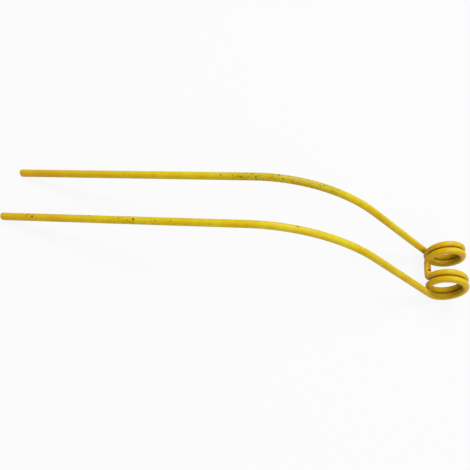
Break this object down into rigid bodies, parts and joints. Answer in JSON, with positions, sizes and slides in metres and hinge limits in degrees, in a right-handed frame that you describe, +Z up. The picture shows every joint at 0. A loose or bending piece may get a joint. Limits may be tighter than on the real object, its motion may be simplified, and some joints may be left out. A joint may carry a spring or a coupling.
{
  "type": "hay rake tine",
  "caption": "Double spring tine of round wire, with two mirrored coils joined by a straight bridge and two long bent arms that end in plain tips.",
  "frame": {"origin": "on the floor, under the middle of the outline, with the tine lying on its two coils and its two tips", "axes": "+X towards the coils and -X towards the tips, +Y along the axis of the coils, +Z up"},
  "size_m": [0.602, 0.0752, 0.1045],
  "materials": {
    "paint": "semi-gloss paint"
  },
  "bodies": {
    "root": {"tine": "paint"}
  },
  "joints": []
}
